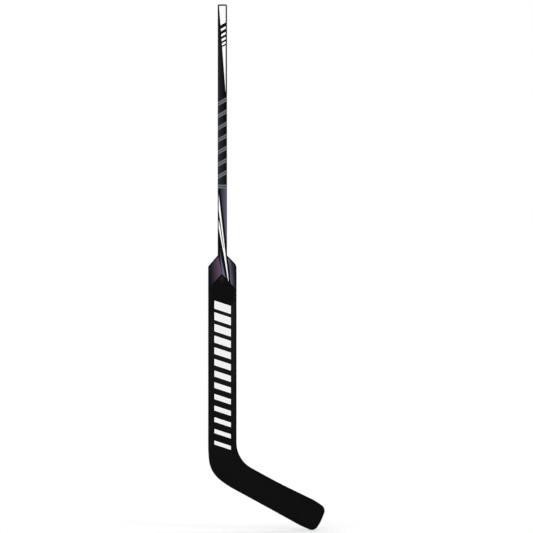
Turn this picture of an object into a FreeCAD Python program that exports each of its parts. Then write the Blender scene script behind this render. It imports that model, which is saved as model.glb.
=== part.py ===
import FreeCAD, Part
import math
import os

# Ice hockey goalie stick, upright, in millimetres and degrees.
# The origin is the middle of the shaft where it meets the paddle: +Z runs up the shaft,
# +X points to the toe side and the front face looks along -Y.

# Shaft and the depth that shaft, paddle and heel share
stick_depth = 20.0
edge_radius = 4.0
shaft_width = 29.0
shaft_length = 781.2
shaft_wall = 2.0

# Tongue of the shaft, bonded into the paddle
joint_height = 6.0
tongue_width = 22.0
tongue_length = 260.0
tongue_wall = 2.0
tongue_step = 8.0
plug_length = 20.0

# Cap in the upper end of the shaft
cap_head = 4.7
cap_crown = 0.9
cap_round = 2.4
cap_plug_length = 30.0
cap_plug_wall = 2.0
cap_fit = 0.2

# Paddle outline, drops measured from the neck; its heel side starts to turn in above the heel
paddle_width = 88.9
heel_drop = 679.1
heel_bend_rise = 65.3
heel_bend_radius = 428.76
heel_lean = 5.6
heel_shoulder_drop = 35.0
throat_shoulder_drop = 30.4
neck_radius = 2.0
heel_shoulder_round = 1.0
throat_shoulder_round = 20.4
heel_radius = 90.4
throat_radius = 90.9

# Blade outline: reach runs from the heel along the sole, height stands square to the sole,
# and the sole rises at its heel end
sole_fall_degrees = 28.6
blade_length = 378.9
heel_lift = 9.3
rocker_reach = 68.1
rocker_radius = 240.74
throat_height = 84.0
waist_run = 94.5
waist_radius = 1367.56

# Toe: the top edge droops, the sole curls up and the end between them is bowed
toe_height = 90.9
toe_droop = 4.4
toe_droop_run = 45.3
toe_droop_radius = 140.48
toe_top_lean = 4.9
toe_top_round = 17.4
toe_bow_height = 37.2
toe_bow_radius = 83.9
toe_bottom_lean = 3.7
toe_bottom_round = 16.4
toe_lift = 5.2
toe_lift_run = 48.8
toe_lift_radius = 221.23

# Blade curve and taper
front_curve_start = 150.0
curve_depth = 16.0
back_curve_start = 80.0
toe_thickness = 10.0
edge_round_share = 0.42

# Laminates, edge bands and cores
skin_thickness = 1.4
skin_lip = 1.5
band_width = 9.0
web_thickness = 1.2
heel_block_rise = 125.5
heel_block_reach = 110.0
blade_web_share = 0.47
top_edge_share = 0.88

# How much a bend may fill of what the next corner's arc leaves of a side
bend_room_share = 0.95

# How far cutting bodies run past what they cut
overrun = 5.0

vector = FreeCAD.Vector

sole_fall = math.radians(sole_fall_degrees)
half_depth = stick_depth / 2
half_paddle = paddle_width / 2
sole_drop = heel_drop + heel_lift
half_tongue = tongue_width / 2
tongue_depth = stick_depth - 2 * skin_thickness
skin_inset = edge_radius + skin_lip
cut_depth = stick_depth + curve_depth + overrun
span = shaft_length + heel_drop + blade_length


def arc_radius(chord, drop):
    return (chord ** 2 + drop ** 2) / (2 * drop)


front_radius = arc_radius(blade_length - front_curve_start, curve_depth)
back_radius = arc_radius(blade_length - back_curve_start, stick_depth + curve_depth - toe_thickness)


def blade_point(reach, height):
    x = -half_paddle + reach * math.cos(sole_fall) + height * math.sin(sole_fall)
    z = -sole_drop - reach * math.sin(sole_fall) + height * math.cos(sole_fall)
    return vector(x, 0, z)


def throat_corner():
    rise = (throat_height - paddle_width * math.sin(sole_fall)) / math.cos(sole_fall)
    return vector(half_paddle, 0, rise - sole_drop)


def heel_corner():
    return vector(heel_lean - half_paddle, 0, -heel_drop)


def waist_corner():
    # The top edge leaves the throat's arc on a straight run along the sole's direction
    run = throat_radius * math.tan((math.pi / 2 - sole_fall) / 2) + waist_run
    return throat_corner() + vector(math.cos(sole_fall), 0, -math.sin(sole_fall)) * run


def half_turn(points, i):
    # Half of the angle that the outline turns through at one of its corners
    before = points[i - 1] - points[i]
    after = points[(i + 1) % len(points)] - points[i]
    return (math.pi - before.getAngle(after)) / 2


def fitted_radii(points, radii):
    # Where two arcs would meet on a side that is too short for both, the slacker one is tightened
    count = len(points)
    setback_shares = [math.tan(half_turn(points, i)) for i in range(count)]
    fitted = list(radii)
    for i in range(count):
        j = (i + 1) % count
        slack, tight = (i, j) if fitted[i] > fitted[j] else (j, i)
        side = (points[j] - points[i]).Length
        room = bend_room_share * (side - fitted[tight] * setback_shares[tight])
        if fitted[slack] * setback_shares[slack] > room:
            fitted[slack] = room / setback_shares[slack]
    return fitted


def outline_corners():
    # Clockwise seen from the front, each corner with its plan radius
    half_shaft = shaft_width / 2
    stub_top = joint_height + band_width + overrun
    corners = [
        (vector(-half_shaft, 0, stub_top), 0),
        (vector(half_shaft, 0, stub_top), 0),
        (vector(half_shaft, 0, 0), neck_radius),
        (vector(half_paddle, 0, -throat_shoulder_drop), edge_radius + throat_shoulder_round),
        (throat_corner(), throat_radius),
        (waist_corner(), waist_radius),
        (blade_point(blade_length - toe_droop_run, toe_height), toe_droop_radius),
        (blade_point(blade_length - toe_top_lean, toe_height - toe_droop), edge_radius + toe_top_round),
        (blade_point(blade_length, toe_bow_height), toe_bow_radius),
        (blade_point(blade_length - toe_bottom_lean, toe_lift), edge_radius + toe_bottom_round),
        (blade_point(blade_length - toe_lift_run, 0), toe_lift_radius),
        (blade_point(rocker_reach, 0), rocker_radius),
        (heel_corner(), heel_radius),
        (vector(-half_paddle, 0, heel_bend_rise - heel_drop), heel_bend_radius),
        (vector(-half_paddle, 0, -heel_shoulder_drop), edge_radius + heel_shoulder_round),
        (vector(-half_shaft, 0, 0), neck_radius),
    ]
    points = [point for point, radius in corners]
    radii = [radius for point, radius in corners]
    return list(zip(points, fitted_radii(points, radii)))


def inset_corners(corners, inset):
    # Every side moves inwards: outer corners tighten and inner corners widen
    points = [point for point, radius in corners]
    count = len(points)
    ways = [(points[(i + 1) % count] - points[i]).normalize() for i in range(count)]
    moved = []
    for i, (point, radius) in enumerate(corners):
        before = ways[i - 1]
        after = ways[i]
        turn = before.x * after.z - before.z * after.x
        inward = vector(before.z, 0, -before.x) + vector(after.z, 0, -after.x)
        shift = inward * (inset / (1 + before.dot(after)))
        rounder = radius - inset if turn < 0 else radius + inset
        moved.append((point + shift, max(rounder, 0) if radius else 0))
    return moved


def rounded_wire(corners):
    points = [point for point, radius in corners]
    count = len(points)
    stations = []
    for i, (point, radius) in enumerate(corners):
        before = (points[i - 1] - point).normalize()
        after = (points[(i + 1) % count] - point).normalize()
        half = half_turn(points, i)
        setback = radius * math.tan(half)
        middle = (before + after).normalize() * (radius / math.cos(half) - radius)
        stations.append((point + before * setback, point + middle, point + after * setback, radius))
    edges = []
    for i, (start, middle, end, radius) in enumerate(stations):
        if radius:
            edges.append(Part.Arc(start, middle, end).toShape())
        edges.append(Part.LineSegment(end, stations[(i + 1) % count][0]).toShape())
    return Part.Wire(edges)


def across(wire):
    # A plan shape made into a body that runs right through the stick from front to back
    wire.translate(vector(0, -cut_depth, 0))
    return Part.Face(wire).extrude(vector(0, 2 * cut_depth, 0))


def plan(inset):
    return across(rounded_wire(inset_corners(outline_corners(), inset)))


def polygon(*points):
    return across(Part.makePolygon(list(points) + [points[0]]))


def upright_box(x_low, x_high, z_low, z_high):
    return polygon(vector(x_low, 0, z_low), vector(x_high, 0, z_low),
                   vector(x_high, 0, z_high), vector(x_low, 0, z_high))


def blade_box(reach_low, reach_high, height_low, height_high):
    return polygon(blade_point(reach_low, height_low), blade_point(reach_high, height_low),
                   blade_point(reach_high, height_high), blade_point(reach_low, height_high))


def front_side(inset):
    return (inset - half_depth, front_curve_start, front_radius + inset)


def back_side(inset):
    return (half_depth - inset, back_curve_start, back_radius - inset)


def side_stations(side, far):
    flat, curve_start, radius = side
    sweep = math.asin((far - curve_start) / radius)
    stations = [(-span, flat), (curve_start, flat)]
    for angle in (sweep / 2, sweep):
        reach = curve_start + radius * math.sin(angle)
        stations.append((reach, flat - radius * (1 - math.cos(angle))))
    return [blade_point(reach, -span) + vector(0, y, 0) for reach, y in stations]


def between(first_side, second_side):
    # Layer bounded by two faces, each flat over paddle and heel and then curved to the toe
    far = blade_length + overrun
    near_a, bend_a, middle_a, end_a = side_stations(first_side, far)
    near_b, bend_b, middle_b, end_b = side_stations(second_side, far)
    wire = Part.Wire([
        Part.LineSegment(near_a, bend_a).toShape(),
        Part.Arc(bend_a, middle_a, end_a).toShape(),
        Part.LineSegment(end_a, end_b).toShape(),
        Part.Arc(end_b, middle_b, bend_b).toShape(),
        Part.LineSegment(bend_b, near_b).toShape(),
        Part.LineSegment(near_b, near_a).toShape(),
    ])
    upward = vector(math.sin(sole_fall), 0, math.cos(sole_fall))
    return Part.Face(wire).extrude(upward * (2 * span))


def below_joint():
    return upright_box(-span, span, -span, joint_height)


def is_side(face):
    # True for the narrow outer faces, which stand square to the front and back
    u_low, u_high, v_low, v_high = face.ParameterRange
    normal = face.normalAt((u_low + u_high) / 2, (v_low + v_high) / 2)
    return abs(normal.y) < abs(normal.x) + abs(normal.z)


def rounded_body():
    # The whole paddle and blade with their edges rounded, ending just above the neck
    body = plan(0).common(between(front_side(0), back_side(0)))
    radius = min(edge_radius, toe_thickness * edge_round_share)
    rim = []
    for edge in body.Edges:
        sides = [is_side(face) for face in body.ancestorsOfType(edge, Part.Face)]
        if any(sides) and not all(sides) and edge.BoundBox.ZMin < joint_height:
            rim.append(edge)
    return body.makeFillet(radius, rim).common(below_joint())


def is_upright(edge):
    way = edge.tangentAt(edge.FirstParameter)
    return abs(way.z) > abs(way.x) + abs(way.y)


def rounded_bar(width, depth, radius, z_low, z_high):
    bar = Part.makeBox(width, depth, z_high - z_low, vector(-width / 2, -depth / 2, z_low))
    if radius > 0:
        bar = bar.makeFillet(radius, [edge for edge in bar.Edges if is_upright(edge)])
    return bar


def tongue():
    return rounded_bar(tongue_width, tongue_depth, 0, -tongue_length, joint_height)


def tongue_bore(z_low, z_high):
    inner = 2 * tongue_wall
    return rounded_bar(tongue_width - inner, tongue_depth - inner, 0, z_low, z_high)


def shaft_bore(clearance, z_low, z_high):
    inner = 2 * (shaft_wall + clearance)
    radius = edge_radius - shaft_wall - clearance
    return rounded_bar(shaft_width - inner, stick_depth - inner, radius, z_low, z_high)


def shaft_tube():
    step_top = joint_height + tongue_step
    tube = rounded_bar(shaft_width, stick_depth, edge_radius, joint_height, shaft_length)
    tube = tube.fuse(tongue())
    tube = tube.cut(shaft_bore(0, step_top, shaft_length + overrun))
    return tube.cut(tongue_bore(-tongue_length - overrun, step_top))


def butt_end_cap():
    crown_radius = arc_radius(shaft_width / 2, cap_crown)
    top = shaft_length + cap_head
    head = rounded_bar(shaft_width, stick_depth, edge_radius, shaft_length, top + overrun)
    centre = vector(0, -stick_depth, top - crown_radius)
    crown = Part.makeCylinder(crown_radius, 2 * stick_depth, centre, vector(0, 1, 0))
    head = head.common(crown)
    rim = [edge for edge in head.Edges if not is_upright(edge) and edge.BoundBox.ZMin > shaft_length]
    head = head.makeFillet(cap_round, rim)
    foot = shaft_length - cap_plug_length
    plug = shaft_bore(cap_fit, foot, shaft_length)
    hollow = shaft_bore(cap_fit + cap_plug_wall, foot - overrun, shaft_length)
    return head.fuse(plug.cut(hollow))


def tongue_end_plug():
    return tongue_bore(-tongue_length, plug_length - tongue_length)


def skins():
    sheet = plan(skin_inset).common(below_joint())
    front = sheet.common(between(front_side(0), front_side(skin_thickness)))
    back = sheet.common(between(back_side(skin_thickness), back_side(0)))
    return front, back


def edge_ring():
    # Rounded rim of paddle and blade with a rabbet for each skin and a socket for the tongue
    sheet = plan(skin_inset)
    ring = rounded_body().cut(plan(band_width))
    ring = ring.cut(sheet.common(between(front_side(-cut_depth), front_side(skin_thickness))))
    ring = ring.cut(sheet.common(between(back_side(skin_thickness), back_side(-cut_depth))))
    return ring.cut(tongue())


def seam_sides():
    # Paddle and blade part along the line from the heel corner to the throat corner
    heel = heel_corner()
    along = (throat_corner() - heel).normalize() * span
    upward = vector(-along.z, 0, along.x)
    left = heel - along
    right = heel + along
    paddle_side = polygon(left, right, right + upward, left + upward)
    blade_side = polygon(left, right, right - upward, left - upward)
    return paddle_side, blade_side


def solids_of(shape):
    return sorted(shape.Solids, key=lambda solid: solid.CenterOfMass.x)


def main():
    nodes = {
        "shaft_tube": shaft_tube(),
        "butt_end_cap": butt_end_cap(),
        "tongue_end_plug": tongue_end_plug(),
    }
    paddle_side, blade_side = seam_sides()

    front, back = skins()
    for face, sheet in (("front", front), ("back", back)):
        nodes["paddle_" + face + "_skin"] = sheet.common(paddle_side)
        nodes["blade_" + face + "_skin"] = sheet.common(blade_side)

    ring = edge_ring()
    heel_edge, throat_edge = solids_of(ring.common(paddle_side))
    nodes["paddle_heel_edge"] = heel_edge
    nodes["paddle_throat_edge"] = throat_edge
    web_height = throat_height * blade_web_share
    top_edge_box = blade_box(-span, blade_length * top_edge_share, web_height, span)
    blade_ring = ring.common(blade_side)
    nodes["blade_top_edge"] = blade_ring.common(top_edge_box)
    nodes["blade_bottom_edge"] = blade_ring.cut(top_edge_box)

    core = plan(band_width).common(between(front_side(skin_thickness), back_side(skin_thickness)))
    core = core.common(below_joint())
    block_top = heel_block_rise - heel_drop
    web_outside = half_tongue + web_thickness
    nodes["paddle_core_heel_side"] = core.common(upright_box(-span, -web_outside, block_top, span))
    nodes["paddle_core_throat_side"] = core.common(upright_box(web_outside, span, block_top, span))
    nodes["paddle_web_heel_side"] = core.common(upright_box(-web_outside, -half_tongue, block_top, span))
    nodes["paddle_web_throat_side"] = core.common(upright_box(half_tongue, web_outside, block_top, span))
    nodes["paddle_core_centre"] = core.common(
        upright_box(-half_tongue, half_tongue, block_top, -tongue_length))

    lower = core.common(upright_box(-span, span, -span, block_top))
    nodes["heel_block"] = lower.common(blade_box(-span, heel_block_reach, -span, span))
    web_low = web_height - web_thickness / 2
    web_high = web_height + web_thickness / 2
    nodes["blade_core_lower"] = lower.common(blade_box(heel_block_reach, span, -span, web_low))
    nodes["blade_web"] = lower.common(blade_box(heel_block_reach, span, web_low, web_high))
    nodes["blade_core_upper"] = lower.common(blade_box(heel_block_reach, span, web_high, span))

    os.makedirs("parts", exist_ok=True)
    for name, shape in nodes.items():
        piece = shape.removeSplitter()
        print(name, len(piece.Solids), piece.isValid(), round(piece.Volume))
        piece.exportStep("parts/" + name + ".step")


main()
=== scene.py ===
import math

import bmesh
import bpy
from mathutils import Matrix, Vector


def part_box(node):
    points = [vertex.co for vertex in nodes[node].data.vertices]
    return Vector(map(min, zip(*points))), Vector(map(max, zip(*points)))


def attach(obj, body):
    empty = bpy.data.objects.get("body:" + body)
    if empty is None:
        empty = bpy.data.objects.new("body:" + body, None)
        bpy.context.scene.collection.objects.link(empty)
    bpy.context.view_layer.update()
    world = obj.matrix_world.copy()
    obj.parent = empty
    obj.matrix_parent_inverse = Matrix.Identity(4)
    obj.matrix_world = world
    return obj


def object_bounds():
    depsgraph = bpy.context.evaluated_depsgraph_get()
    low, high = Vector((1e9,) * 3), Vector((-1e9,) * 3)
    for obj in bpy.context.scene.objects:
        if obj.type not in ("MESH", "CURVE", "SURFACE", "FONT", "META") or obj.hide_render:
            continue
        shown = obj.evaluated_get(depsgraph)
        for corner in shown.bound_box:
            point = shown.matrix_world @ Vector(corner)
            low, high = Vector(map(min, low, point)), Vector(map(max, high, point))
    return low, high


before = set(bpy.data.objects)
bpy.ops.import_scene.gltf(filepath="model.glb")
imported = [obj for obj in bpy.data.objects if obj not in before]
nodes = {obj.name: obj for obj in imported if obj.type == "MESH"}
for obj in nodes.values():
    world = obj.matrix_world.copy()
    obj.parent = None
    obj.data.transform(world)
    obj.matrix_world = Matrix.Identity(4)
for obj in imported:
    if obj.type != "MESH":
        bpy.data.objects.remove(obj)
cadLow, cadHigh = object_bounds()
scene = bpy.context.scene
scene.view_settings.view_transform = "Standard"
mm = 0.001
print("frame loaded:", len(nodes), "solids")


# camera, square on to the front face
photoView = {
    "pixels": 533,
    "millimetresPerPixel": 3.13,
    "aimX": 138.3,
    "aimZ": -35.1,
    "lens": 200,
    "sensor": 36,
    "clipDistances": 10,
}


def placeCamera(view):
    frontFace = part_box("paddle_front_skin")[0].y
    viewWidth = view["pixels"] * view["millimetresPerPixel"] * mm
    distance = viewWidth * view["lens"] / view["sensor"]
    data = bpy.data.cameras.new("photoCamera")
    data.lens = view["lens"]
    data.sensor_width = view["sensor"]
    data.clip_end = distance * view["clipDistances"]
    camera = bpy.data.objects.new("photoCamera", data)
    camera.location = (view["aimX"] * mm, frontFace - distance, view["aimZ"] * mm)
    camera.rotation_euler = (math.pi / 2, 0, 0)
    scene.collection.objects.link(camera)
    scene.camera = camera


placeCamera(photoView)
print("camera placed")


# small helpers for building node trees
def feed(tree, socket, value):
    if isinstance(value, bpy.types.NodeSocket):
        tree.links.new(value, socket)
    else:
        socket.default_value = value


def addNode(tree, kind, inputs=None, **settings):
    node = tree.nodes.new("ShaderNode" + kind)
    for key, value in settings.items():
        setattr(node, key, value)
    for key, value in (inputs or {}).items():
        feed(tree, node.inputs[key], value)
    return node


def mathOf(tree, operation, *values):
    node = addNode(tree, "Math", operation=operation)
    for socket, value in zip(node.inputs, values):
        feed(tree, socket, value)
    return node.outputs[0]


def rangeOf(tree, value, fromLow, fromHigh, toLow, toHigh, curve="LINEAR"):
    inputs = {0: value, 1: fromLow, 2: fromHigh, 3: toLow, 4: toHigh}
    return addNode(tree, "MapRange", inputs, interpolation_type=curve).outputs[0]


def mixColour(tree, share, first, second):
    return addNode(tree, "Mix", {0: share, 6: first, 7: second}, data_type="RGBA").outputs[2]


def rampOf(tree, share, stops):
    # colours that fade evenly to the eye: the ramp runs in screen levels, which the gamma makes linear
    ramp = addNode(tree, "ValToRGB", {0: share})
    elements = ramp.color_ramp.elements
    middle = 0.5
    while len(elements) < len(stops):
        elements.new(middle)
    for element, (place, colour) in zip(elements, stops):
        element.position = place
        element.color = colour
    return addNode(tree, "Gamma", {0: ramp.outputs[0], 1: screenGamma}).outputs[0]


def objectPoint(tree):
    return addNode(tree, "TexCoord").outputs["Object"]


def objectAxes(tree, names):
    axes = addNode(tree, "SeparateXYZ", {0: objectPoint(tree)}).outputs
    return [axes[name] for name in names]


def noiseOf(tree, point, scale, detail):
    return addNode(tree, "TexNoise", {"Vector": point, "Scale": scale, "Detail": detail}).outputs[0]


def newGroup(name, inputs, outputs):
    tree = bpy.data.node_groups.new(name, "ShaderNodeTree")
    for label, value in inputs.items():
        socket = tree.interface.new_socket(name=label, in_out="INPUT", socket_type="NodeSocketFloat")
        socket.default_value = value
    for label in outputs:
        tree.interface.new_socket(name=label, in_out="OUTPUT", socket_type="NodeSocketFloat")
    return tree, tree.nodes.new("NodeGroupInput").outputs, tree.nodes.new("NodeGroupOutput").inputs


def placeGroup(tree, group, inputs=None):
    node = addNode(tree, "Group", node_tree=group)
    for key, value in (inputs or {}).items():
        feed(tree, node.inputs[key], value)
    return node.outputs


screenGamma = 2.4
screenFoot = 0.055
fullLevel = 255


def screen(red, green, blue):
    # colour in screen levels, ready for the gamma
    return [(value / fullLevel + screenFoot) / (1 + screenFoot) for value in (red, green, blue)] + [1]


def tint(red, green, blue):
    # the same colour with the gamma applied
    return [part ** screenGamma for part in screen(red, green, blue)]


# effects that several finishes share
noiseSpan = (0.3, 0.7)
carbonCloth = {
    "towWidth": 2.2 * mm,
    "towsOver": 2,
    "weftTone": 0.55,
}


def buildTwill(look):
    # bias-laid carbon cloth: two over, two under
    tree, given, out = newGroup("carbonTwill", {"Tow Width": look["towWidth"]}, ["Height", "Tone"])
    x, y, z = objectAxes(tree, "XYZ")
    across = mathOf(tree, "ADD", x, y)
    warp = mathOf(tree, "DIVIDE", mathOf(tree, "ADD", across, z), given[0])
    weft = mathOf(tree, "DIVIDE", mathOf(tree, "SUBTRACT", across, z), given[0])
    rows = mathOf(tree, "ADD", mathOf(tree, "FLOOR", warp), mathOf(tree, "FLOOR", weft))
    row = mathOf(tree, "FLOORED_MODULO", rows, 2 * look["towsOver"])
    warpOnTop = mathOf(tree, "LESS_THAN", row, look["towsOver"])
    crowns = []
    for thread in (warp, weft):
        turned = mathOf(tree, "MULTIPLY", thread, math.pi)
        crowns.append(mathOf(tree, "ABSOLUTE", mathOf(tree, "SINE", turned)))
    height = addNode(tree, "Mix", {0: warpOnTop, 2: crowns[1], 3: crowns[0]}).outputs[0]
    feed(tree, out["Height"], height)
    tone = rangeOf(tree, warpOnTop, 0, 1, look["weftTone"], 1)
    feed(tree, out["Tone"], mathOf(tree, "MULTIPLY", height, tone))
    return tree


clearCoat = {
    "scales": {"Fine Scale": 420, "Broad Scale": 14},
    "details": (2, 3),
}


def buildRipple(look):
    # slight orange peel of a sprayed clear coat, and slow drifts in its thickness
    tree, given, out = newGroup("coatRipple", look["scales"], ["Fine", "Broad"])
    point = objectPoint(tree)
    for index, detail in enumerate(look["details"]):
        feed(tree, out[index], noiseOf(tree, point, given[index], detail))
    return tree


handling = {
    "amount": 0.5,
    "hairStretch": (520, 520, 9),
    "hairSpan": (0.62, 0.74),
    "patchScale": 7,
    "patchSpan": (0.45, 0.65),
    "detail": 2,
}


def buildRubs(look):
    # hairline handling marks that run along the stick, in patches
    tree, given, out = newGroup("handlingRubs", {"Amount": look["amount"]}, ["Marks"])
    point = objectPoint(tree)
    drawn = addNode(tree, "Mapping", {"Vector": point, "Scale": look["hairStretch"]}).outputs[0]
    lines = rangeOf(tree, noiseOf(tree, drawn, 1, look["detail"]), *look["hairSpan"], 0, 1)
    patches = noiseOf(tree, point, look["patchScale"], look["detail"])
    shown = rangeOf(tree, patches, *look["patchSpan"], 0, 1)
    feed(tree, out[0], mathOf(tree, "MULTIPLY", mathOf(tree, "MULTIPLY", lines, shown), given[0]))
    return tree


squeegee = {
    "linePitch": 1.6 * mm,
    "lineShare": 0.14,
    "toothScale": 900,
    "toothDetail": 2,
}


def buildInkGrain(look):
    # screen-printed ink: fine tooth with faint squeegee lines across the stick
    tree, given, out = newGroup("inkGrain", {"Line Pitch": look["linePitch"]}, ["Grain"])
    pitches = mathOf(tree, "DIVIDE", objectAxes(tree, "Z")[0], given[0])
    lines = mathOf(tree, "SINE", mathOf(tree, "MULTIPLY", pitches, math.tau))
    tooth = noiseOf(tree, objectPoint(tree), look["toothScale"], look["toothDetail"])
    feed(tree, out[0], mathOf(tree, "MULTIPLY_ADD", lines, look["lineShare"], tooth))
    return tree


def buildFade():
    # share from one side of a print to the other, with the fade's lean along the stick
    tree, given, out = newGroup(
        "acrossFade", {"From": 0.0, "To": 1.0, "Lean": 0.0, "Level": 0.0}, ["Share"])
    x, z = objectAxes(tree, "XZ")
    shift = mathOf(tree, "MULTIPLY", mathOf(tree, "SUBTRACT", z, given["Level"]), given["Lean"])
    place = mathOf(tree, "ADD", x, shift)
    feed(tree, out[0], rangeOf(tree, place, given["From"], given["To"], 0, 1))
    return tree


def buildCells():
    # closed foam cells
    tree, given, out = newGroup("foamCells", {"Cells Per Metre": 700}, ["Wall", "Cell"])
    cells = addNode(tree, "TexVoronoi", {"Vector": objectPoint(tree), "Scale": given[0]})
    feed(tree, out["Wall"], cells.outputs["Distance"])
    feed(tree, out["Cell"], addNode(tree, "SeparateColor", {0: cells.outputs["Color"]}).outputs[0])
    return tree


twill = buildTwill(carbonCloth)
ripple = buildRipple(clearCoat)
rubs = buildRubs(handling)
inkGrain = buildInkGrain(squeegee)
acrossFade = buildFade()
foamCells = buildCells()
print("shared effects built")


# finishes
def newFinish(name, specular):
    material = bpy.data.materials.new(name)
    material.use_nodes = True
    tree = material.node_tree
    shader = tree.nodes["Principled BSDF"]
    shader.inputs["Specular IOR Level"].default_value = specular
    return material, tree, shader.inputs


def bumpOf(tree, height, strength, depth):
    inputs = {"Height": height, "Strength": strength, "Distance": depth}
    return addNode(tree, "Bump", inputs).outputs[0]


def fadeOf(tree, fade):
    # colours that run into each other across the stick
    ends = {key: fade[key] for key in ("From", "To", "Lean", "Level") if key in fade}
    return rampOf(tree, placeGroup(tree, acrossFade, ends)[0], fade["stops"])


laminate = {
    "specular": 0.065,
    "roughness": (0.36, 0.5),
    "rubs": 0.6,
    "rubShine": 0.1,
    "rubTone": 1.2,
    "weaveTone": 1.2,
    "toneSpan": (0.35, 1.8),
    "relief": 0.35,
    "weaveDepth": 0.05 * mm,
    "rippleDepth": 0.03 * mm,
}


def dressLaminate(tree, shader, colour):
    # black cloth laminate under a satin clear coat
    weave, tone = placeGroup(tree, twill)
    fine, broad = placeGroup(tree, ripple)
    marks = placeGroup(tree, rubs, {"Amount": laminate["rubs"]})[0]
    satin = rangeOf(tree, broad, *noiseSpan, *laminate["roughness"])
    worn = mathOf(tree, "MULTIPLY", marks, laminate["rubShine"])
    feed(tree, shader["Roughness"], mathOf(tree, "SUBTRACT", satin, worn))
    rippleShare = laminate["rippleDepth"] / laminate["weaveDepth"]
    height = mathOf(tree, "MULTIPLY_ADD", fine, rippleShare, weave)
    feed(tree, shader["Normal"], bumpOf(tree, height, laminate["relief"], laminate["weaveDepth"]))
    drift = mathOf(tree, "MULTIPLY_ADD", marks, laminate["rubTone"], broad)
    lifted = mathOf(tree, "MULTIPLY_ADD", tone, laminate["weaveTone"], drift)
    share = rangeOf(tree, lifted, *laminate["toneSpan"], 0, 1)
    feed(tree, shader["Base Color"], mixColour(tree, share, *colour))


def tintOver(tree, shader, share, colour):
    # mixes a further colour into a finish that is already dressed
    under = shader["Base Color"].links[0].from_socket
    feed(tree, shader["Base Color"], mixColour(tree, share, under, colour))


faceBlack = {
    "colour": (tint(0, 0, 0), tint(11, 11, 11)),
    "apexX": -0.75 * mm,
    "apexZ": -64.5 * mm,
    "apexSlope": 1.03,
    "apexSpread": 1.2,
    "apexReach": 30 * mm,
    "apexShare": 0.9,
    # the sheen keys place a painted sheen, a soft highlight put into the paddle's colour
    "sheenLean": -0.63,
    "sheenStart": -150 * mm,
    "sheenPeak": -195 * mm,
    "sheenFoot": -580 * mm,
    "sheenShare": 0.5,
    "sheenSides": (0.55, 1),
    # the rim keys place a painted highlight, a paler line along the paddle's rims
    "rimFrom": 36 * mm,
    "rimTo": 38 * mm,
    "rimFoot": -610 * mm,
    "rimShare": 0.25,
    # the paler black used for the painted sheen, the painted rim highlight and the patch under the chevron
    "paleColour": tint(34, 34, 34),
}


def apexPaler(tree, x, z):
    # a paler patch just under the point of the chevron
    aside = mathOf(tree, "ABSOLUTE", mathOf(tree, "SUBTRACT", x, faceBlack["apexX"]))
    top = mathOf(tree, "MULTIPLY_ADD", aside, -faceBlack["apexSlope"], faceBlack["apexZ"])
    inside = mathOf(tree, "GREATER_THAN", mathOf(tree, "SUBTRACT", top, z), 0)
    drop = mathOf(tree, "SUBTRACT", faceBlack["apexZ"], z)
    away = mathOf(tree, "MULTIPLY_ADD", aside, faceBlack["apexSpread"], drop)
    glow = rangeOf(tree, away, 0, faceBlack["apexReach"], faceBlack["apexShare"], 0, "SMOOTHSTEP")
    return mathOf(tree, "MULTIPLY", inside, glow)


def paddlePaintedSheen(tree, x, z):
    # painted sheen: a soft highlight put into the colour, which comes up quickly below the chevron, on a
    # slant, and dies away towards the blade
    place = mathOf(tree, "MULTIPLY_ADD", x, faceBlack["sheenLean"], z)
    rise = rangeOf(tree, place, faceBlack["sheenStart"], faceBlack["sheenPeak"], 0, 1, "SMOOTHSTEP")
    fall = rangeOf(tree, z, faceBlack["sheenPeak"], faceBlack["sheenFoot"], faceBlack["sheenShare"], 0)
    sides = rangeOf(tree, x, -faceBlack["rimTo"], faceBlack["rimTo"], *faceBlack["sheenSides"])
    return mathOf(tree, "MULTIPLY", mathOf(tree, "MULTIPLY", rise, fall), sides)


def rimPaintedHighlight(tree, x, z):
    # painted highlight: a paler line put into the colour where the paddle's skins meet the edge bands
    near = rangeOf(tree, mathOf(tree, "ABSOLUTE", x), faceBlack["rimFrom"], faceBlack["rimTo"], 0, 1)
    onPaddle = mathOf(tree, "GREATER_THAN", z, faceBlack["rimFoot"])
    return mathOf(tree, "MULTIPLY", mathOf(tree, "MULTIPLY", near, onPaddle), faceBlack["rimShare"])


def makeFaceLaminate():
    # black, paler in places on the paddle: a painted sheen down the paddle, a painted highlight along its
    # rims, and a paler patch under the chevron
    material, tree, shader = newFinish("faceLaminate", laminate["specular"])
    dressLaminate(tree, shader, faceBlack["colour"])
    x, z = objectAxes(tree, "XZ")
    share = mathOf(tree, "MAXIMUM", apexPaler(tree, x, z), paddlePaintedSheen(tree, x, z))
    share = mathOf(tree, "ADD", share, rimPaintedHighlight(tree, x, z))
    tintOver(tree, shader, share, faceBlack["paleColour"])
    return material


edgeBlack = {
    "colour": (tint(1, 1, 1), tint(9, 9, 9)),
    "specular": 0.0455,
    "soleX": -44.45 * mm,
    "soleZ": -688.4 * mm,
    "soleFall": math.radians(28.6),
    "rubHeight": 14 * mm,
    "rubShare": 0.6,
    "rubColour": tint(38, 38, 39),
    "scuffScale": 160,
    "scuffDetail": 6,
    "scuffSpan": (0.52, 0.72),
}


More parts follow.
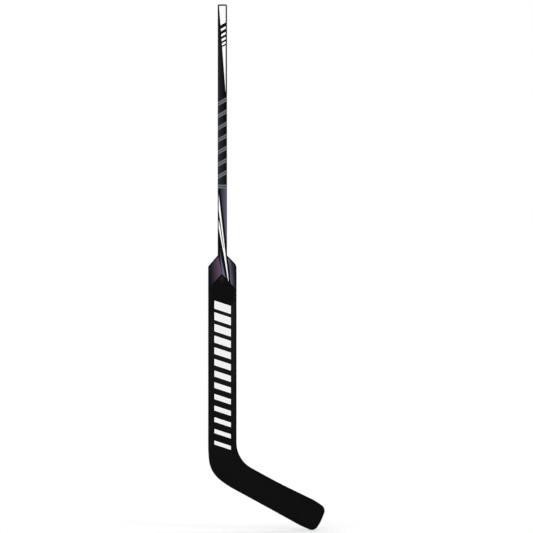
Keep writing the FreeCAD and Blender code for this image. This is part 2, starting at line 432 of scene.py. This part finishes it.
def makeEdgeLaminate():
    # moulded edge bands, with faint ice rub along the sole
    material, tree, shader = newFinish("edgeLaminate", edgeBlack["specular"])
    dressLaminate(tree, shader, edgeBlack["colour"])
    x, z = objectAxes(tree, "XZ")
    right = mathOf(tree, "SUBTRACT", x, edgeBlack["soleX"])
    up = mathOf(tree, "SUBTRACT", z, edgeBlack["soleZ"])
    rise = mathOf(tree, "MULTIPLY", up, math.cos(edgeBlack["soleFall"]))
    height = mathOf(tree, "MULTIPLY_ADD", right, math.sin(edgeBlack["soleFall"]), rise)
    near = rangeOf(tree, height, 0, edgeBlack["rubHeight"], 1, 0, "SMOOTHSTEP")
    scuffs = noiseOf(tree, objectPoint(tree), edgeBlack["scuffScale"], edgeBlack["scuffDetail"])
    rubbed = rangeOf(tree, scuffs, *edgeBlack["scuffSpan"], 0, edgeBlack["rubShare"])
    tintOver(tree, shader, mathOf(tree, "MULTIPLY", near, rubbed), edgeBlack["rubColour"])
    return material


shaftBlack = {
    "colour": (tint(1, 1, 2), tint(12, 12, 13)),
    "fadeFoot": 215 * mm,
    "fadeShare": 0.85,
    "fade": {
        "From": -14.5 * mm,
        "To": 14.5 * mm,
        "Lean": 0.022,
        "Level": 236 * mm,
        "stops": (
            (0.0, screen(16, 24, 32)),
            (0.16, screen(43, 48, 55)),
            (0.7, screen(24, 22, 26)),
            (1.0, screen(3, 3, 4)),
        ),
    },
}


def makeShaftLaminate():
    # navy charcoal fading to black across the upper shaft
    material, tree, shader = newFinish("shaftLaminate", laminate["specular"])
    dressLaminate(tree, shader, shaftBlack["colour"])
    upper = mathOf(tree, "GREATER_THAN", objectAxes(tree, "Z")[0], shaftBlack["fadeFoot"])
    share = mathOf(tree, "MULTIPLY", upper, shaftBlack["fadeShare"])
    tintOver(tree, shader, share, fadeOf(tree, shaftBlack["fade"]))
    return material


webBlack = {
    "colour": (tint(24, 24, 26), tint(48, 48, 50)),
}


def makeWebLaminate():
    # bare ribs inside the stick
    material, tree, shader = newFinish("webLaminate", laminate["specular"])
    dressLaminate(tree, shader, webBlack["colour"])
    return material


capRubber = {
    "specular": 0.25,
    "colour": (tint(18, 18, 19), tint(40, 40, 41)),
    "roughness": (0.6, 0.85),
    "grainScales": {"Fine Scale": 1400, "Broad Scale": 120},
    "relief": 0.5,
    "grainDepth": 0.08 * mm,
}


def makeCapRubber():
    # fine moulded grain
    material, tree, shader = newFinish("capRubber", capRubber["specular"])
    fine, broad = placeGroup(tree, ripple, capRubber["grainScales"])
    share = rangeOf(tree, broad, *noiseSpan, 0, 1)
    feed(tree, shader["Base Color"], mixColour(tree, share, *capRubber["colour"]))
    feed(tree, shader["Roughness"], rangeOf(tree, fine, *noiseSpan, *capRubber["roughness"]))
    feed(tree, shader["Normal"], bumpOf(tree, fine, capRubber["relief"], capRubber["grainDepth"]))
    return material


foam = {
    "specular": 0.3,
    "wallReach": 0.8,
    "roughness": (0.95, 0.75),
    "relief": 0.6,
    "cellDepth": 0.3 * mm,
    "coreFoam": {"cells": 700, "colour": (tint(214, 203, 172), tint(238, 230, 206))},
    "denseFoam": {"cells": 1300, "colour": (tint(178, 152, 108), tint(206, 184, 142))},
}


def makeFoam(name):
    # foam cut through its cells
    material, tree, shader = newFinish(name, foam["specular"])
    wall, cell = placeGroup(tree, foamCells, {"Cells Per Metre": foam[name]["cells"]})
    feed(tree, shader["Base Color"], mixColour(tree, cell, *foam[name]["colour"]))
    feed(tree, shader["Roughness"], rangeOf(tree, wall, 0, foam["wallReach"], *foam["roughness"]))
    feed(tree, shader["Normal"], bumpOf(tree, wall, foam["relief"], foam["cellDepth"]))
    return material


finishes = [
    (makeShaftLaminate(), ["shaft_tube"]),
    (makeFaceLaminate(), ["paddle_front_skin", "paddle_back_skin", "blade_front_skin", "blade_back_skin"]),
    (makeEdgeLaminate(), ["paddle_heel_edge", "paddle_throat_edge", "blade_bottom_edge", "blade_top_edge"]),
    (makeWebLaminate(), ["paddle_web_heel_side", "paddle_web_throat_side", "blade_web"]),
    (makeCapRubber(), ["butt_end_cap"]),
    (makeFoam("coreFoam"), [
        "tongue_end_plug", "paddle_core_heel_side", "paddle_core_throat_side",
        "paddle_core_centre", "blade_core_upper", "blade_core_lower",
    ]),
    (makeFoam("denseFoam"), ["heel_block"]),
]
for material, members in finishes:
    for member in members:
        slots = nodes[member].data.materials
        slots.clear()
        slots.append(material)
print("solids dressed in", len(finishes), "finishes")


# printed inks
ink = {
    "specular": 0.1,
    "roughness": (0.34, 0.46),
    "grainSpan": (0.3, 0.8),
    "rubs": 0.5,
    "rubShine": 0.1,
    "relief": 0.25,
    "toothDepth": 0.02 * mm,
    "shadeShare": 0.08,
    "shadeColour": tint(10, 10, 12),
    "topDarkShare": 0.97,
    "topDarkColour": tint(8, 9, 10),
    "proud": 0.12 * mm,
    "sunk": 0.15 * mm,
    "sharpAngle": math.radians(40),
}


def dressInk(tree, shader):
    # tooth and sheen that every ink has; gives back the grain
    grain = placeGroup(tree, inkGrain)[0]
    marks = placeGroup(tree, rubs, {"Amount": ink["rubs"]})[0]
    sheen = rangeOf(tree, grain, *ink["grainSpan"], *ink["roughness"])
    feed(tree, shader["Roughness"], mathOf(tree, "MULTIPLY_ADD", marks, -ink["rubShine"], sheen))
    feed(tree, shader["Normal"], bumpOf(tree, grain, ink["relief"], ink["toothDepth"]))
    return grain


def makePlainInk(name, dark, light):
    # one colour, a shade darker and lighter with the grain
    material, tree, shader = newFinish(name, ink["specular"])
    share = rangeOf(tree, dressInk(tree, shader), *noiseSpan, 0, 1)
    feed(tree, shader["Base Color"], mixColour(tree, share, dark, light))
    return material


def makeFadedInk(name, fade):
    # colours that fade across the print, and to near black at its top where the fade says so
    material, tree, shader = newFinish(name, ink["specular"])
    grain = dressInk(tree, shader)
    faded = fadeOf(tree, fade)
    if "topDark" in fade:
        z = objectAxes(tree, "Z")[0]
        share = rangeOf(tree, z, *fade["topDark"], 0, ink["topDarkShare"], "SMOOTHSTEP")
        faded = mixColour(tree, share, faded, ink["topDarkColour"])
    shade = rangeOf(tree, grain, *noiseSpan, 0, ink["shadeShare"])
    feed(tree, shader["Base Color"], mixColour(tree, shade, faded, ink["shadeColour"]))
    return material


whiteInk = makePlainInk("whiteInk", tint(244, 244, 245), tint(252, 252, 252))
paleInk = makePlainInk("paleInk", tint(232, 232, 233), tint(240, 240, 240))
greyInk = makePlainInk("greyInk", tint(112, 113, 115), tint(124, 124, 126))
blackInk = makePlainInk("blackInk", tint(4, 4, 5), tint(8, 8, 8))
print("inks mixed")


# the shaft's outside, unrolled: along is measured round it from the middle of a face
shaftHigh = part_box("shaft_tube")[1]
shaftForm = {
    "halfWidth": shaftHigh.x,
    "halfDepth": shaftHigh.y,
    "corner": 4 * mm,
    "cornerSteps": 6,
    "neck": 3 * mm,
}
shaftFlat = shaftForm["halfWidth"] - shaftForm["corner"]
cornerRun = shaftForm["corner"] * math.pi / 2
sideStart = shaftFlat + cornerRun
sideMiddle = sideStart + shaftForm["halfDepth"] - shaftForm["corner"]
cornerSteps = shaftForm["cornerSteps"]
cornerCuts = [shaftFlat + cornerRun * step / cornerSteps for step in range(cornerSteps + 1)]
facings = {"front": -1, "back": 1}  # which way each face looks along Y


def onSkin(along, z, lift, facing):
    # point on the stick's outside, lifted off it
    side = math.copysign(1, along)
    reach = abs(along)
    inner = shaftForm["halfDepth"] - shaftForm["corner"]
    if reach <= shaftFlat or z < shaftForm["neck"]:
        return Vector((along, facing * (shaftForm["halfDepth"] + lift), z))
    if reach <= sideStart:
        turn = (reach - shaftFlat) / shaftForm["corner"]
        radius = shaftForm["corner"] + lift
        x = shaftFlat + radius * math.sin(turn)
        return Vector((side * x, facing * (inner + radius * math.cos(turn)), z))
    return Vector((side * (shaftForm["halfWidth"] + lift), facing * (inner - (reach - sideStart)), z))


def newPiece(name, mesh, material):
    mesh.materials.append(material)
    piece = bpy.data.objects.new(name, mesh)
    scene.collection.objects.link(piece)
    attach(piece, "root")


def closeMesh(name, bm):
    bmesh.ops.recalc_face_normals(bm, faces=bm.faces)
    mesh = bpy.data.meshes.new(name)
    bm.to_mesh(mesh)
    bm.free()
    mesh.shade_smooth()
    mesh.set_sharp_from_angle(angle=ink["sharpAngle"])
    return mesh


def addSheet(bm, outline, facing, lift):
    # a closed film of ink laid on one face; outline has (along, z) points in millimetres
    sheet = bmesh.new()
    corners = [sheet.verts.new((along * mm, 0, z * mm)) for along, z in outline]
    sheet.faces.new(corners)
    onShaft = max(z for along, z in outline) * mm > shaftForm["neck"]
    for cut in cornerCuts if onShaft else []:
        for side in (-1, 1):
            everything = sheet.verts[:] + sheet.edges[:] + sheet.faces[:]
            bmesh.ops.bisect_plane(sheet, geom=everything, plane_co=(side * cut, 0, 0), plane_no=(1, 0, 0))
    bmesh.ops.triangulate(sheet, faces=sheet.faces[:])
    lower = {v: bm.verts.new(onSkin(v.co.x, v.co.z, -ink["sunk"], facing)) for v in sheet.verts}
    upper = {v: bm.verts.new(onSkin(v.co.x, v.co.z, lift, facing)) for v in sheet.verts}
    for face in sheet.faces:
        bm.faces.new([upper[v] for v in face.verts])
        bm.faces.new([lower[v] for v in reversed(face.verts)])
    for edge in sheet.edges:
        if edge.is_boundary:
            first, second = edge.verts
            bm.faces.new([upper[first], upper[second], lower[second], lower[first]])
    sheet.free()


def printSheets(name, outlines, material, layer=1):
    # the same print on both faces
    for face, facing in facings.items():
        bm = bmesh.new()
        for outline in outlines:
            addSheet(bm, outline, facing, ink["proud"] * layer)
        title = name + "_" + face
        newPiece(title, closeMesh(title, bm), material)


def addRing(bm, centre, slope, height, lift):
    # a band right round the shaft, slanted across both faces
    stations = [-sideMiddle] + [-cut for cut in reversed(cornerCuts)] + cornerCuts + [sideMiddle]
    ahead = [(along, facings["front"]) for along in stations[:-1]]
    behind = [(along, facings["back"]) for along in reversed(stations[1:])]
    half = height * mm / 2
    profile = [(half, lift), (-half, lift), (-half, -ink["sunk"]), (half, -ink["sunk"])]
    rings = []
    for along, facing in ahead + behind:
        x = onSkin(along, centre * mm, 0, facing).x
        middle = centre * mm + slope * x
        section = []
        for rise, depth in profile:
            point = onSkin(along, centre * mm, depth, facing)
            point.z = middle + rise
            section.append(bm.verts.new(point))
        rings.append(section)
    for index, section in enumerate(rings):
        following = rings[(index + 1) % len(rings)]
        for corner in range(len(section)):
            beside = (corner + 1) % len(section)
            bm.faces.new([section[corner], section[beside], following[beside], following[corner]])


def printRings(name, bands, material, layer=1):
    # several bands in one piece
    bm = bmesh.new()
    for centre, slope, height in bands:
        addRing(bm, centre, slope, height, ink["proud"] * layer)
    newPiece(name, closeMesh(name, bm), material)


def keepSide(outline, level, slope, above):
    # the part of an outline above or below a slanted line
    kept = []
    sign = 1 if above else -1
    for index, (x, z) in enumerate(outline):
        beforeX, beforeZ = outline[index - 1]
        here = sign * (z - level - slope * x)
        before = sign * (beforeZ - level - slope * beforeX)
        if here * before < 0:
            share = before / (before - here)
            kept.append((beforeX + share * (x - beforeX), beforeZ + share * (z - beforeZ)))
        if here >= 0:
            kept.append((x, z))
    return kept


# white wedge below the cap, sliced by slanted gaps
wedge = {
    "leftEdge": [(-10.2, 780.6), (10.2, 511.0)],
    "rightEdge": 10.3,
    "slant": 0.57,
    "slices": [(723, 711), (703.5, 693.5), (686, 678), (670.5, 664), (656.5, 651.5)],
    "border": 3.6,
    "borderTail": 8,
}


def printWedge(look):
    left = look["leftEdge"]
    topZ = left[0][1]
    footX, footZ = left[-1]
    border = [(x - look["border"], z) for x, z in left]
    tail = (footX, footZ - look["borderTail"])
    printSheets("wedge_border", [border + [tail] + left[::-1]], blackInk)
    rest = left + [(look["rightEdge"], footZ), (look["rightEdge"], topZ)]
    parts = []
    for top, bottom in look["slices"]:
        parts.append(keepSide(rest, top, look["slant"], True))
        rest = keepSide(rest, bottom, look["slant"], False)
    printSheets("top_wedge", parts + [rest], whiteInk)


printWedge(wedge)


# slanted bars round the middle of the shaft, grey with a faded core
shaftBars = {
    "count": 7,
    "top": 481,
    "pitch": 38,
    "slant": 0.57,
    "height": 12.0,
    "core": 5.2,
    "coreLayer": 1.6,
    "footLevel": 215.2,
    "footHeight": 11.0,
    "fade": {
        "From": -14.5 * mm,
        "To": 14.5 * mm,
        "stops": (
            (0.0, screen(58, 82, 106)),
            (0.4, screen(72, 84, 108)),
            (1.0, screen(90, 44, 96)),
        ),
    },
}


def printShaftBars(look):
    levels = [look["top"] - look["pitch"] * index for index in range(look["count"])]
    bands = [(level, look["slant"], look["height"]) for level in levels]
    bands.append((look["footLevel"], 0, look["footHeight"]))
    printRings("shaft_bars", bands, greyInk)
    cores = [(level, slant, look["core"]) for level, slant, height in bands]
    printRings("shaft_bar_cores", cores, makeFadedInk("coreFade", look["fade"]), look["coreLayer"])


printShaftBars(shaftBars)


# slate to purple panel on the toe side of the lower shaft
lowerPanel = {
    "top": 209.2,
    "leftTop": -6.4,
    "leftFoot": 60.3,
    "cornerFoot": 24,
    "sideFoot": 11,
    "fade": {
        "From": -7 * mm,
        "To": 14.5 * mm,
        "stops": (
            (0.0, screen(33, 41, 48)),
            (0.82, screen(89, 85, 106)),
            (1.0, screen(100, 82, 108)),
        ),
    },
}


def printLowerPanel(look):
    flat, start, middle = shaftFlat / mm, sideStart / mm, sideMiddle / mm
    outline = [
        (look["leftTop"], look["top"]),
        (middle, look["top"]),
        (middle, look["sideFoot"]),
        (start, look["cornerFoot"]),
        (flat, look["leftFoot"]),
    ]
    printSheets("lower_panel", [outline], makeFadedInk("lowerPanelFade", look["fade"]))


printLowerPanel(lowerPanel)


# two white stripes that run together across the neck and end in a point on the paddle
neckStripes = {
    "outer": [(-11.2, 191.0), (6.5, 35.4), (9.1, 10.3), (16.2, -46.0), (20.1, -79.0)],
    "tip": (20.4, -83.0),
    "inner": [(16.8, -72.0), (8.5, -21.0), (5.6, -2.2), (0.6, 22.8), (-11.2, 84.9)],
    "forkOuter": [(-11.2, 111.5), (-8.5, 98.0), (3.5, 22.8)],
    "forkInner": [(4.8, 23.5), (-4.9, 98.0), (-10.5, 135.5), (-11.2, 144.5)],
}


def printNeckStripes(look):
    outline = look["outer"] + [look["tip"]] + look["inner"] + look["forkOuter"] + look["forkInner"]
    printSheets("neck_stripes", [outline], whiteInk)


printNeckStripes(neckStripes)


# coloured panels on the shoulders
heelPanel = {
    "outline": [(-12.4, -4.3), (-4.2, -40.7), (-1.4, -57.7), (-40.2, -99.4), (-40.2, -36.8)],
    "fade": {
        "From": -41 * mm,
        "To": -3 * mm,
        "Lean": 0.09,
        "Level": -46 * mm,
        "stops": (
            (0.0, screen(10, 12, 13)),
            (0.45, screen(54, 50, 61)),
            (0.78, screen(97, 61, 89)),
            (0.87, screen(93, 74, 97)),
        ),
    },
}
throatPanel = {
    "outline": [
        (16.9, -8.8), (35.2, -27.3), (38.9, -34), (38.9, -101),
        (26.5, -88.3), (25.2, -74), (21.9, -35.7),
    ],
    "fade": {
        "From": 17 * mm,
        "To": 39 * mm,
        "Lean": 0.1,
        "Level": -40 * mm,
        "stops": (
            (0.0, screen(96, 98, 122)),
            (0.26, screen(88, 96, 116)),
            (0.58, screen(57, 53, 66)),
            (1.0, screen(19, 15, 18)),
        ),
    },
}
slateFacet = {
    "outline": [
        (-8.7, 24), (-4.8, 24), (-3.1, -11), (0.3, -25.7),
        (10.2, -70), (-0.2, -59), (-2.2, -40.7), (-6.2, -11),
    ],
    "fade": {
        "From": -6 * mm,
        "To": 6 * mm,
        "Lean": 0.18,
        "Level": -35 * mm,
        "topDark": (-26 * mm, 20 * mm),
        "stops": (
            (0.0, screen(78, 88, 106)),
            (0.5, screen(94, 101, 124)),
            (1.0, screen(108, 88, 122)),
        ),
    },
}
printSheets("heel_panel", [heelPanel["outline"]], makeFadedInk("heelFade", heelPanel["fade"]))
printSheets("throat_panel", [throatPanel["outline"]], makeFadedInk("throatFade", throatPanel["fade"]))
printSheets("slate_facet", [slateFacet["outline"]], makeFadedInk("slateFade", slateFacet["fade"]))


# slanted white bars down the paddle, bold at the neck and finer towards the blade
paddleBars = {
    "count": 13,
    "left": -24.7,
    "right": 26.6,
    "top": -141.8,
    "foot": -608.8,
    "slant": -0.33,
    "firstHeight": 25,
    "lastHeight": 12,
    "rim": 2.4,
    "fillLayer": 1.5,
}


def printPaddleBars(look):
    drop = look["slant"] * (look["right"] - look["left"])
    run = look["top"] - (look["foot"] - drop + look["lastHeight"])
    last = look["count"] - 1
    bars, fills = [], []
    for index in range(look["count"]):
        height = look["firstHeight"] + (look["lastHeight"] - look["firstHeight"]) * index / last
        top = look["top"] - run * index / last
        for outlines, inset in ((bars, 0), (fills, look["rim"])):
            left, right = look["left"] + inset, look["right"] - inset
            leftTop = top + look["slant"] * inset - inset
            rightTop = top + look["slant"] * (right - look["left"]) - inset
            thick = height - 2 * inset
            upper = [(left, leftTop), (right, rightTop)]
            lower = [(right, rightTop - thick), (left, leftTop - thick)]
            outlines.append(upper + lower)
    printSheets("paddle_bars", bars, whiteInk)
    printSheets("paddle_bar_fills", fills, paleInk, look["fillLayer"])


printPaddleBars(paddleBars)
print("prints laid on both faces")


# floor and light
studio = {
    "fill": 0.8,
    "reflectSides": 0.45,
    "reflectFaces": 0.1,
    "facingSpan": (0.35, 0.9),
    "floorTones": (0.49, 0.5),
    "floorRoughness": (0.9, 1),
    "floorGrain": 300,
    "floorGrainDetail": 2,
    "floorShown": 0.3,
    "floorRadius": 60,
    "floorSides": 96,
    "floorGap": 0.5 * mm,
    "lampSpread": 30,
    "lampStrength": 0.9,
    "lampRise": 35,
    "lampTurns": (-52, 52, 128, 232),
}


def rayShown(tree):
    # rays straight from the camera, and those together with mirrored and transmitted ones
    rays = addNode(tree, "LightPath").outputs
    mirrored = mathOf(tree, "MAXIMUM", rays["Is Glossy Ray"], rays["Is Transmission Ray"])
    return rays["Is Camera Ray"], mathOf(tree, "MAXIMUM", rays["Is Camera Ray"], mirrored)


def makeWorld(look):
    # white behind the stick, and dimmer in front of and behind its faces, as in a dark studio
    world = bpy.data.worlds.new("studio")
    world.use_nodes = True
    scene.world = world
    tree = world.node_tree
    camera, shown = rayShown(tree)
    direction = addNode(tree, "TexCoord").outputs["Generated"]
    facing = mathOf(tree, "ABSOLUTE", addNode(tree, "SeparateXYZ", {0: direction}).outputs["Y"])
    levels = (look["reflectSides"], look["reflectFaces"])
    mirrored = rangeOf(tree, facing, *look["facingSpan"], *levels, "SMOOTHSTEP")
    background = mathOf(tree, "MAXIMUM", mirrored, camera)
    level = addNode(tree, "Mix", {0: shown, 2: look["fill"], 3: background}).outputs[0]
    feed(tree, tree.nodes["Background"].inputs["Color"], (1, 1, 1, 1))
    feed(tree, tree.nodes["Background"].inputs["Strength"], level)


def makeFloor(look):
    # pale paper under the stick
    bm = bmesh.new()
    bmesh.ops.create_circle(bm, cap_ends=True, segments=look["floorSides"], radius=look["floorRadius"])
    mesh = bpy.data.meshes.new("floor")
    bm.to_mesh(mesh)
    bm.free()
    floor = bpy.data.objects.new("floor", mesh)
    floor.location.z = cadLow.z - look["floorGap"]
    scene.collection.objects.link(floor)
    material, tree, shader = newFinish("floorPaper", 0.0)
    grain = noiseOf(tree, objectPoint(tree), look["floorGrain"], look["floorGrainDetail"])
    pale = [(tone, tone, tone, 1) for tone in look["floorTones"]]
    feed(tree, shader["Base Color"], mixColour(tree, grain, *pale))
    feed(tree, shader["Roughness"], rangeOf(tree, grain, *noiseSpan, *look["floorRoughness"]))
    feed(tree, shader["Emission Color"], (1, 1, 1, 1))
    shown = rayShown(tree)[1]
    feed(tree, shader["Emission Strength"], mathOf(tree, "MULTIPLY", shown, look["floorShown"]))
    mesh.materials.append(material)


def placeLamps(look):
    # four broad soft lights, well to the sides of both faces, far enough off to light the floor evenly
    rise = math.radians(look["lampRise"])
    for index, turn in enumerate(look["lampTurns"]):
        angle = math.radians(turn)
        level = math.cos(rise)
        away = Vector((math.sin(angle) * level, -math.cos(angle) * level, math.sin(rise)))
        data = bpy.data.lights.new("softLight", "SUN")
        data.angle = math.radians(look["lampSpread"])
        data.energy = look["lampStrength"]
        lamp = bpy.data.objects.new("softLight" + str(index), data)
        lamp.location = away
        lamp.rotation_euler = away.to_track_quat("Z", "Y").to_euler()
        scene.collection.objects.link(lamp)


makeWorld(studio)
makeFloor(studio)
placeLamps(studio)
print("floor and light set")
